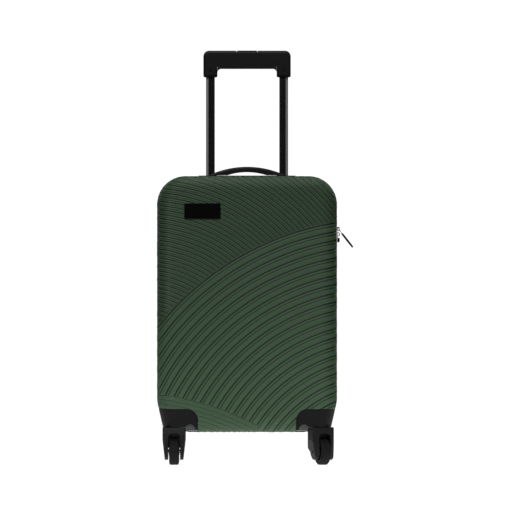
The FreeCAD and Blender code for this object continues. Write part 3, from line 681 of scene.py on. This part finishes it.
def case_lining(name):
    """Loose cloth lining sewn inside one shell."""
    side = CaseSide(name)
    holes = case_holes(side, name, LINING_GROW)
    rim = side.outline_loop(side.rim - LINING_T, LINING_STEP)
    borders = holes + [rim]
    loose = loose_points(side, holes, borders, LINING_STEP)
    flat, faces = triangulate([], borders, loose, within(side, holes))
    x, z, y, normal, _ = side.place(*flat.T)
    calm = np.clip(nearest(flat, np.vstack(borders)) / LINING_CALM, 0, 1) ** 1.5
    lift = SHELL_T + LINING_GAP + LINING_ROOM[name] * folds(*flat.T, 3.1) * calm
    cloth = new_object(f"{name}_lining_cloth", np.stack([x, y, z], 1) - normal * lift[:, None], faces)
    mark_weave(cloth, flat)
    thicken(cloth)
    return cloth


def thicken(obj):
    """Give the lining cloth its thickness, half to each side."""
    solid = obj.modifiers.new("cloth", "SOLIDIFY")
    solid.thickness = LINING_T
    solid.offset = 0.0


def well_cover(name, sign_x, sign_y):
    """Lining sewn over one wheel housing inside the case."""
    side = CaseSide("front" if sign_y < 0 else "rear")
    line = well_face(LINING_GROW, LINING_INSET)
    centre = np.array([HALF_W - BOTTOM_R, CASE_BOTTOM + BOTTOM_R])
    start = math.atan2(*(line[-1] - centre)[::-1])
    turn = np.linspace(start, -math.pi / 2, 14)[1:]
    corner = centre + (BOTTOM_R - LINING_INSET) * np.stack([np.cos(turn), np.sin(turn)], 1)
    across = np.linspace(corner[-1][0], line[0][0], 6)[1:-1]
    bottom = np.array([(x, CASE_BOTTOM + LINING_INSET) for x in across])
    loop = np.vstack([line, corner, bottom])
    xs = np.arange(line[0][0], HALF_W, COVER_STEP)
    zs = np.arange(CASE_BOTTOM, line[-1][1], COVER_STEP)
    grid = np.array([(x, z) for x in xs for z in zs])
    grid = grid[inside_loop(grid, loop)]
    grid = grid[nearest(grid, loop) > COVER_CLEAR]
    flat, faces = triangulate([], [loop], grid, lambda m: inside_loop(m, loop))
    shares = np.linspace(0, 1, 6)[:-1, None]
    dense = np.vstack([a + (b - a) * t for a, b in zip(line, line[1:]) for t in shares] + [line[-1:]])
    away = nearest(flat, dense)
    t = np.clip(away / SEAM_R, 0, 1)
    y = COVER_Y + SEAM_R * (1 - np.sqrt(1 - (1 - t) ** 2))
    y = y - COVER_FOLD * folds(*flat.T, 9.4 + sign_x) * np.clip(away / (2 * SEAM_R), 0, 1)
    vertices = [(sign_x * a, sign_y * b, c) for (a, c), b in zip(flat, y)]
    faces, uv = list(faces), list(flat)
    bend_y = COVER_Y + SEAM_R
    skin_y = side.place(*side.unroll(*line.T))[2]
    far = np.maximum(np.abs(skin_y) - LINING_INSET, bend_y + COVER_REACH)
    rows = 8
    base = len(vertices)
    for (x, z), end_y in zip(line, far):
        for depth_y in np.linspace(bend_y, end_y, rows):
            vertices.append((sign_x * x, sign_y * depth_y, z))
            uv.append((x, z + depth_y))
    faces += [tuple(base + i for i in f) for f in grid_faces(len(line), rows, False, False)]
    cover = new_object(name, vertices, faces)
    mark_weave(cover, uv)
    merge(cover)
    thicken(cover)
    return cover


def merge(obj):
    """Join points that share a place and face the mesh one way."""
    mesh = bmesh.new()
    mesh.from_mesh(obj.data)
    bmesh.ops.remove_doubles(mesh, verts=mesh.verts, dist=2e-5)
    bmesh.ops.recalc_face_normals(mesh, faces=mesh.faces)
    mesh.to_mesh(obj.data)
    mesh.free()


def webbing(name, points, across):
    """Flat woven strap along 3-D points, with rounded edges."""
    half, t = STRAP_WIDTH / 2, STRAP_T / 2
    section = [(-half, 0), (-half + t, t), (-half * 0.5, t * 0.9), (0, t * 0.86), (half * 0.5, t * 0.9),
               (half - t, t), (half, 0), (half - t, -t), (0, -t * 0.9), (-half + t, -t)]
    vertices, uv = [], []
    for p, ahead, run in zip(points, np.gradient(points, axis=0), lengths_along(points)):
        up = np.cross(ahead / np.linalg.norm(ahead), across)
        up /= np.linalg.norm(up)
        for w, h in section:
            vertices.append(p + across * w + up * h)
            uv.append((run, w))
    strap = new_object(name, vertices, swept_faces(len(points), len(section)))
    mark_weave(strap, uv)
    return strap


def hinge_cloth():
    """Woven strip that joins the two halves inside the rim."""
    x = (HINGE_LO[0] + HINGE_HI[0]) / 2
    half = (HINGE_HI[0] - HINGE_LO[0]) / 2 - HINGE_CLEAR[0]
    reach = HINGE_HI[1] - HINGE_CLEAR[1]
    ys = np.linspace(reach, -reach, 25)
    zs = np.linspace(HINGE_LO[2], HINGE_HI[2], 100)
    vertices, uv = [], []
    for z in zs:
        ring = [(x - half, y) for y in ys] + [(x + half, y) for y in ys[::-1]]
        ripple = RIPPLE * math.sin(z * RIPPLE_RATE)
        for px, y in ring:
            vertices.append((px + ripple * math.cos(y / reach * math.pi / 2), y, z))
            uv.append((y, z))
    n = len(ys) * 2
    faces = grid_faces(len(zs), n, False, True)
    for base in (0, (len(zs) - 1) * n):
        for i in range(len(ys) - 1):
            quad = (base + i, base + i + 1, base + n - 2 - i, base + n - 1 - i)
            faces.append(quad if base else quad[::-1])
    cloth = new_object("hinge_cloth", vertices, faces)
    mark_weave(cloth, uv)
    return cloth, x, reach


# ------ zip puller and sliders
def pull_frame():
    """Top of the zip puller, its direction and its length."""
    top = np.array([PULL_LO[0] + PULL_END, 0.0, PULL_HI[2] - PULL_END])
    end = np.array([PULL_HI[0] - PULL_TIP, 0.0, PULL_LO[2] + PULL_TIP])
    length = np.linalg.norm(end - top)
    return top, (end - top) / length, length


def pull_tab():
    """Moulded grip of the puller, whose stations are (along, half thickness, half width)."""
    top, along, length = pull_frame()
    thick = np.cross(along, Y_AXIS)
    stations = [(0.0098, 0.0008, 0.0014), (0.0105, 0.0014, 0.002), (0.0125, 0.0018, 0.0025)]
    for t in np.arange(0.015, length - 0.006, RIDGE_PITCH):
        stations += [(t, 0.0018, 0.0028), (t + 0.0006, 0.0021, 0.0031), (t + 0.0014, 0.0021, 0.0031),
                     (t + 0.002, 0.0018, 0.0028)]
    stations += [(length - 0.002, 0.0019, 0.003), (length - 0.0006, 0.0015, 0.0024),
                 (length, 0.0007, 0.0014)]
    return beads("puller_grip", [top], [(along, thick, Y_AXIS)], stations, 20)


def signed_power(value, power):
    """Power that keeps the sign; it squares off a circle."""
    return math.copysign(abs(value) ** power, value)


def pull_wire():
    """Wire loop between the slider and the puller's grip."""
    top, along, _ = pull_frame()
    long, wide = WIRE_LOOP
    turn = np.linspace(0, 2 * math.pi, 49)[:-1]
    loop = [top + along * (long - long * signed_power(math.cos(t), 0.7))
            + Y_AXIS * (wide * signed_power(math.sin(t), 0.6)) for t in turn]
    return tube_along("puller_wire", loop, WIRE_R, closed=True)


def slider_boss(name, node, low, high, half):
    """Cast boss under a slider's bridge, from share `low` to `high` of its height, `half` each way in y."""
    lo, hi = np.array(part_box(node))
    size = hi - lo
    at = np.array([lo[0] + size[0] * BOSS_PLACE, 0.0, lo[2]])
    z0, z1 = size[2] * low, size[2] * high
    edge = (z1 - z0) * 0.18
    thin, thick = BOSS_X
    profile = [(z0, thin, half * 0.7), (z0 + edge, thick, half), (z1 - edge, thick, half),
               (z1, thin, half * 0.7)]
    return beads(name, [at], [(Z_AXIS, X_AXIS, Y_AXIS)], profile, 16)


# ------ materials
def linear(r, g, b):
    """Linear colour of a display colour given from 0 to 255."""
    def convert(c):
        c /= 255
        return c / 12.92 if c <= 0.04045 else ((c + 0.055) / 1.055) ** 2.4
    return (convert(r), convert(g), convert(b), 1.0)


def grey(level):
    return linear(level, level, level)


def feed(tree, node, inputs):
    """Set a node's inputs to values or to other nodes' outputs."""
    for key, value in inputs.items():
        if isinstance(value, bpy.types.NodeSocket):
            tree.links.new(value, node.inputs[key])
        else:
            node.inputs[key].default_value = value


def add(tree, kind, inputs, output=0, **properties):
    """One output of a new node with its properties and inputs."""
    node = tree.nodes.new(kind)
    for key, value in properties.items():
        setattr(node, key, value)
    feed(tree, node, inputs)
    return node.outputs[output]


def start_material(name):
    """New material with its node tree and its shader."""
    material = bpy.data.materials.new(name)
    material.use_nodes = True
    tree = material.node_tree
    return material, tree, tree.nodes["Principled BSDF"]


def math_node(tree, operation, *values):
    return add(tree, "ShaderNodeMath", dict(enumerate(values)), operation=operation)


def mix_colour(tree, factor, a, b):
    """Colour a at factor 0 and b at 1; 6, 7 and 2 are the node's colour sockets."""
    return add(tree, "ShaderNodeMix", {0: factor, 6: a, 7: b}, 2, data_type="RGBA")


def place_in(tree, kind="Object"):
    """Texture place, or the normal, in the object's own axes."""
    return add(tree, "ShaderNodeTexCoord", {}, kind)


def clouds(tree, place, scale, detail=2.0):
    """Soft noise over a place."""
    return add(tree, "ShaderNodeTexNoise", {"Vector": place, "Scale": scale, "Detail": detail})


def ramp(tree, value, low, high):
    """0 below low and 1 above high."""
    inputs = {"Value": value, "From Min": low, "From Max": high}
    return add(tree, "ShaderNodeMapRange", inputs, clamp=True)


def shade(colour, factor):
    """The colour made darker or lighter."""
    return tuple(c * factor for c in colour[:3]) + (1.0,)


def plastic(name, colour, rough, grain=2600, depth=0.00004, vary=0.1, wear=0.25, metallic=0.0, coat=0.0,
            specular=0.22, brushed=(1.0, 1.0, 1.0)):
    """Moulded plastic or metal: fine grain, cloudy colour and gloss, and light scuffs."""
    material, tree, shader = start_material(name)
    place = place_in(tree)
    cloud = clouds(tree, place, 14.0, 4.0)
    stretched = add(tree, "ShaderNodeMapping", {"Vector": place, "Rotation": (0.4, 0.9, 0.3),
                                                "Scale": (60.0, 900.0, 700.0)})
    scuff = math_node(tree, "MULTIPLY", ramp(tree, clouds(tree, stretched, 0.6), 0.64, 0.74),
                      ramp(tree, clouds(tree, place, 30.0), 0.5, 0.68))
    worn = math_node(tree, "MULTIPLY", scuff, wear)
    tint = mix_colour(tree, cloud, shade(colour, 1 - vary), shade(colour, 1 + vary))
    gloss = math_node(tree, "MULTIPLY_ADD", cloud, 0.16, rough - 0.08)
    fine_place = add(tree, "ShaderNodeMapping", {"Vector": place, "Scale": brushed})
    height = math_node(tree, "SUBTRACT", clouds(tree, fine_place, float(grain)),
                       math_node(tree, "MULTIPLY", scuff, 0.4))
    bump = add(tree, "ShaderNodeBump", {"Height": height, "Distance": depth, "Strength": 1.0})
    feed(tree, shader, {
        "Base Color": mix_colour(tree, worn, tint, shade(colour, 2.2)),
        "Roughness": math_node(tree, "ADD", gloss, math_node(tree, "MULTIPLY", worn, 0.3)),
        "Normal": bump, "Metallic": metallic, "Specular IOR Level": specular,
        "Coat Weight": coat, "Coat Roughness": 0.08})
    return material


def overlay(material, factor, colour):
    """Lay another colour over a material's own, and return the material."""
    tree = material.node_tree
    shader = tree.nodes["Principled BSDF"]
    base = shader.inputs["Base Color"].links[0].from_socket
    feed(tree, shader, {"Base Color": mix_colour(tree, factor, base, colour)})
    return material


def shell_material(colour):
    """Satin shell: as plastic(), with shade painted into the rib grooves."""
    material = plastic("shell_satin", colour, 0.5, grain=1500, depth=0.00006, vary=0.05, wear=0.12)
    tree = material.node_tree
    groove = add(tree, "ShaderNodeAttribute", {}, "Fac", attribute_name="groove")
    # painted shade: the rib grooves darken toward a near-black green by each point's groove mark
    painted_groove_shade = math_node(tree, "MULTIPLY", ramp(tree, groove, 0.1, 1.0), GROOVE_PAINTED_SHADE)
    return overlay(material, painted_groove_shade, shade(colour, 0.12))


def cloth(name, colour, pitch, depth, twill=0.0):
    """Woven cloth whose threads follow the piece's own flat layout."""
    material, tree, shader = start_material(name)
    flat = add(tree, "ShaderNodeAttribute", {}, "Vector", attribute_name="weave")
    along, across = (add(tree, "ShaderNodeSeparateXYZ", {0: flat}, axis) for axis in (0, 1))
    a, b = (math_node(tree, "MULTIPLY", place, 2 * math.pi / pitch) for place in (along, across))
    if twill:
        a = math_node(tree, "ADD", a, math_node(tree, "MULTIPLY", b, twill))
    threads = math_node(tree, "MULTIPLY", math_node(tree, "SINE", a), math_node(tree, "SINE", b))
    height = math_node(tree, "MULTIPLY_ADD", threads, 0.5, 0.5)
    place = place_in(tree)
    slub = clouds(tree, place, 160.0, 3.0)
    cloud = clouds(tree, place, 18.0)
    # painted shade and highlight: the weave's low places are drawn darker and its raised threads lighter
    thread = mix_colour(tree, height, shade(colour, 0.55), shade(colour, 1.15))
    relief = math_node(tree, "ADD", height, math_node(tree, "MULTIPLY", slub, 0.5))
    bump = add(tree, "ShaderNodeBump", {"Height": relief, "Distance": depth, "Strength": 0.8})
    feed(tree, shader, {
        "Base Color": mix_colour(tree, ramp(tree, cloud, 0.3, 0.7), thread, shade(colour, 0.9)),
        "Roughness": math_node(tree, "MULTIPLY_ADD", slub, 0.2, 0.75), "Normal": bump,
        "Sheen Weight": 0.2, "Sheen Roughness": 0.5})
    return material


def tube_material():
    """Black anodised tube, with a pale reflection painted on its outer flank strips."""
    material = plastic("tube_anodised", grey(17), 0.3, grain=700, depth=0.00001, vary=0.04, specular=0.4,
                       brushed=(1.0, 1.0, 0.02))
    tree = material.node_tree
    across = add(tree, "ShaderNodeSeparateXYZ", {0: place_in(tree, "Normal")})
    side = math_node(tree, "ABSOLUTE", across)
    # painted reflection: where the normal turns sideways, the flanks are laid over in pale grey
    painted_flank_reflection = math_node(tree, "MULTIPLY", ramp(tree, side, 0.3, 0.42), ramp(tree, side, 0.97, 0.93))
    return overlay(material, painted_flank_reflection, grey(150))


def dress(obj, material):
    """Make this the object's only material."""
    obj.data.materials.clear()
    obj.data.materials.append(material)


SHELL_GREEN = (0.052, 0.098, 0.052, 1.0)
LOOKS = {
    "shell": shell_material(SHELL_GREEN),
    "housing": plastic("housing_black", linear(9, 9.5, 9), 0.5, specular=0.14, grain=1800, depth=0.00005),
    "black": plastic("black_moulding", grey(17), 0.45, grain=2200),
    "grip": plastic("grip_black", grey(17), 0.48, depth=0.00005),
    "grip_cover": plastic("grip_cover_grey", grey(40), 0.4),
    "button": plastic("button_black", grey(15), 0.4),
    "cover": plastic("cover_grey", linear(104, 107, 106), 0.6, grain=900, depth=0.0001),
    "wheel": plastic("wheel_grey", linear(26, 26, 27), 0.4),
    "rubber": plastic("tyre_rubber", grey(14), 0.75, grain=1500, depth=0.00008, wear=0.4, specular=0.2),
    "tube": tube_material(),
    "dark_screw": plastic("screw_black", grey(50), 0.35, grain=1500, metallic=1.0),
    "steel": plastic("steel_bright", linear(170, 170, 172), 0.3, grain=1500, depth=0.00002, metallic=1.0),
    "slider": plastic("slider_black", grey(20), 0.34, grain=1500, depth=0.00002),
    "badge": plastic("badge_gloss", grey(4), 0.1, grain=300, depth=0.0000005, wear=0.1, coat=0.6),
    "teeth": plastic("teeth_nylon", linear(26, 27, 26), 0.4, grain=3000, depth=0.00002),
    "lining": cloth("lining_weave", linear(128, 132, 130), 0.0011, 0.0001),
    "tape": cloth("tape_weave", linear(24, 25, 24), 0.0009, 0.00012, twill=0.5),
    "strap": cloth("strap_weave", linear(52, 54, 54), 0.0016, 0.0003, twill=1.0),
    "thread": plastic("thread_dark", linear(40, 42, 40), 0.7, grain=6000, depth=0.00006),
    "piping": plastic("piping_black", grey(25), 0.6, grain=4000, depth=0.00006),
}
# Parts of the CAD nodes' names; the first look that fits is taken
CAD_LOOKS = {
    "steel": ("housing_screws", "_stem", "_axle", "push_rods", "springs"),
    "black": ("_fork", "tube_base", "collars", "handle_tray", "pockets", "strap_buckle"),
    "housing": ("_housing",), "wheel": ("wheel_core",), "rubber": ("_tyre",), "tube": ("_tube_",),
    "cover": ("tube_cover",), "grip": ("grip_body", "carry_handle"), "grip_cover": ("grip_lower_cover",),
    "dark_screw": ("grip_screws",), "button": ("release_button",), "badge": ("badge",),
    "slider": ("slider", "padlock_eye", "zip_puller"),
}
for node_name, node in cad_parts.items():
    fitting = (look for look, parts in CAD_LOOKS.items() if any(part in node_name for part in parts))
    look = next(fitting, None)
    if look:
        dress(node, LOOKS[look])


def add_piece(obj, look, body, slot, *replaced):
    """Give a piece its material and body, and hide the CAD nodes it stands for. The slot is not used."""
    dress(obj, LOOKS[look])
    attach(obj, body)
    if replaced:
        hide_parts(*replaced)


# ------ the pieces
for name, sign in (("front", -1), ("rear", 1)):
    half = f"{name}_half"
    add_piece(case_shell(name), "shell", half, "shell_abs", f"{name}_shell")
    add_piece(case_lining(name), "lining", half, "lining_cloth", f"{name}_lining")
    add_piece(zip_tape(f"{name}_zip_cloth", sign), "tape", half, "zip_cloth", f"{name}_zip_tape")
    add_piece(rim_stitches(f"{name}_zip_stitches", sign), "thread", half, "zip_cloth")
    add_piece(zip_teeth(f"{name}_teeth_row", sign), "teeth", half, "zip_nylon", f"{name}_zip_teeth")
    points, _, _ = outline(WELT_INSET, 0.005)
    line = [(x, sign * WELT_Y, z) for x, z in points]
    add_piece(tube_along(f"{name}_lining_welt", line, WELT_R, closed=True), "piping", half, "zip_cloth")
    for where, sign_x in (("left", -1), ("right", 1)):
        add_piece(well_cover(f"{name}_{where}_well_cloth", sign_x, sign), "lining", half, "lining_cloth")
        seam_y = sign * (COVER_Y + COVER_WELT_Y)
        seam = [(sign_x * (x + COVER_WELT_SHIFT), seam_y, z - COVER_WELT_SHIFT)
                for x, z in well_face(LINING_GROW, LINING_INSET)]
        welt = tube_along(f"{name}_{where}_well_welt", seam, COVER_WELT_R)
        add_piece(welt, "piping", half, "zip_cloth")

hinge, hinge_x, hinge_reach = hinge_cloth()
dress(hinge, LOOKS["tape"])
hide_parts("hinge_tape")
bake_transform(hinge)

strap_y = (STRAPS_LO[1] + STRAPS_HI[1]) / 2
strap_z = (STRAPS_LO[2] + STRAPS_HI[2]) / 2
arm = np.array(STRAP_SLOPE)
arm /= np.linalg.norm(arm)
for label in ("upper_right", "upper_left", "lower_right", "lower_left"):
    along = arm * (1 if "right" in label else -1, 1, 1 if "upper" in label else -1)
    across = np.cross(along, Y_AXIS)
    line = np.array([(0, strap_y, strap_z) + along * t for t in np.linspace(*STRAP_REACH, 60)])
    strap = webbing(f"strap_{label}", line, across)
    replaced = ["packing_straps"] if label == "upper_right" else []     # one node holds all four straps
    add_piece(strap, "strap", "rear_half", "strap_elastic", *replaced)
    for number, edge in ((0, -0.007), (7, 0.0), (14, 0.007)):
        row = [np.array([0, STRAPS_LO[1] - 0.0001, strap_z]) + along * t + across * edge
               for t in np.linspace(*SEWN_REACH, 5)]
        stitches = stitch_row(f"strap_{label}_stitches_{number}", row, [(0, -1, 0)] * 5, **STRAP_STITCH)
        add_piece(stitches, "thread", "rear_half", "strap_elastic")

for which, low, high, half in (("lower", 0.12, 0.88, 0.003), ("upper", 0.68, 0.92, 0.0008)):
    boss = slider_boss(f"{which}_slider_boss", f"{which}_slider", low, high, half)
    add_piece(boss, "slider", f"{which}_zip_slider", "slider_metal")
add_piece(pull_tab(), "slider", "puller", "slider_metal", "zip_puller")
add_piece(pull_wire(), "slider", "puller", "slider_metal")

# ------ floor, backdrop, light and camera
turn = np.linspace(0, 2 * math.pi, 72, endpoint=False)
disc = [(FLOOR_R * math.cos(t), FLOOR_R * math.sin(t), 0) for t in turn]
floor = new_object("studio_floor", disc, [tuple(range(len(disc)))], smooth=False)
floor_look, tree, shader = start_material("floor_pale")
spot = add(tree, "ShaderNodeTexNoise", {"Scale": 3.0, "Detail": 3.0})
away = add(tree, "ShaderNodeVectorMath", {0: place_in(tree)}, "Value", operation="LENGTH")
edge = ramp(tree, away, 0.15, FLOOR_R * 0.95)
feed(tree, shader, {"Base Color": mix_colour(tree, spot, (0.8, 0.8, 0.8, 1), (0.83, 0.83, 0.83, 1)),
                    "Roughness": 0.9, "Emission Color": (1, 1, 1, 1),
                    "Emission Strength": math_node(tree, "MULTIPLY_ADD", edge, EDGE_GLOW, FLOOR_GLOW)})
dress(floor, floor_look)

world = bpy.data.worlds.new("studio")
world.use_nodes = True
bpy.context.scene.world = world
tree = world.node_tree
seen = add(tree, "ShaderNodeLightPath", {}, "Is Camera Ray")
strength = math_node(tree, "MULTIPLY_ADD", seen, BACKDROP - WORLD_LIGHT, WORLD_LIGHT)
feed(tree, tree.nodes["Background"], {"Color": (1, 1, 1, 1), "Strength": strength})


def softbox(name, place, aim, size, power):
    """Area light at a place, turned toward its aim."""
    data = bpy.data.lights.new(name, "AREA")
    data.shape = "RECTANGLE"
    data.size, data.size_y = size
    data.energy = power
    light = link(name, data)
    light.location = place
    light.rotation_euler = (Vector(aim) - Vector(place)).to_track_quat("-Z", "Y").to_euler()


softbox("key", (-0.8, -2.8, 3.1), (0, 0, 0.5), (0.9, 0.9), 70)
softbox("fill", (1.9, -3.2, 2.0), (0, 0, 0.5), (1.0, 1.4), 18)
softbox("top", (0, 0.3, 3.2), (0, 0, 0), (2.2, 2.2), 30)
softbox("back_left", (-2.4, 2.8, 1.8), (0, 0, 0.3), (1.4, 1.8), 14)
softbox("back_right", (2.4, 2.8, 1.8), (0, 0, 0.3), (1.4, 1.8), 14)

bpy.context.scene.view_settings.view_transform = "Standard"
camera_data = bpy.data.cameras.new("camera")
camera_data.sensor_width = SENSOR
camera_data.lens = SENSOR * CAMERA_DISTANCE / FRAMED_WIDTH
camera_data.clip_end = 3 * CAMERA_DISTANCE
camera = link("camera", camera_data)
camera.location = (CAMERA_X, -HALF_D - CAMERA_DISTANCE, CAMERA_Z)
camera.rotation_euler = (math.pi / 2, 0, 0)
bpy.context.scene.camera = camera
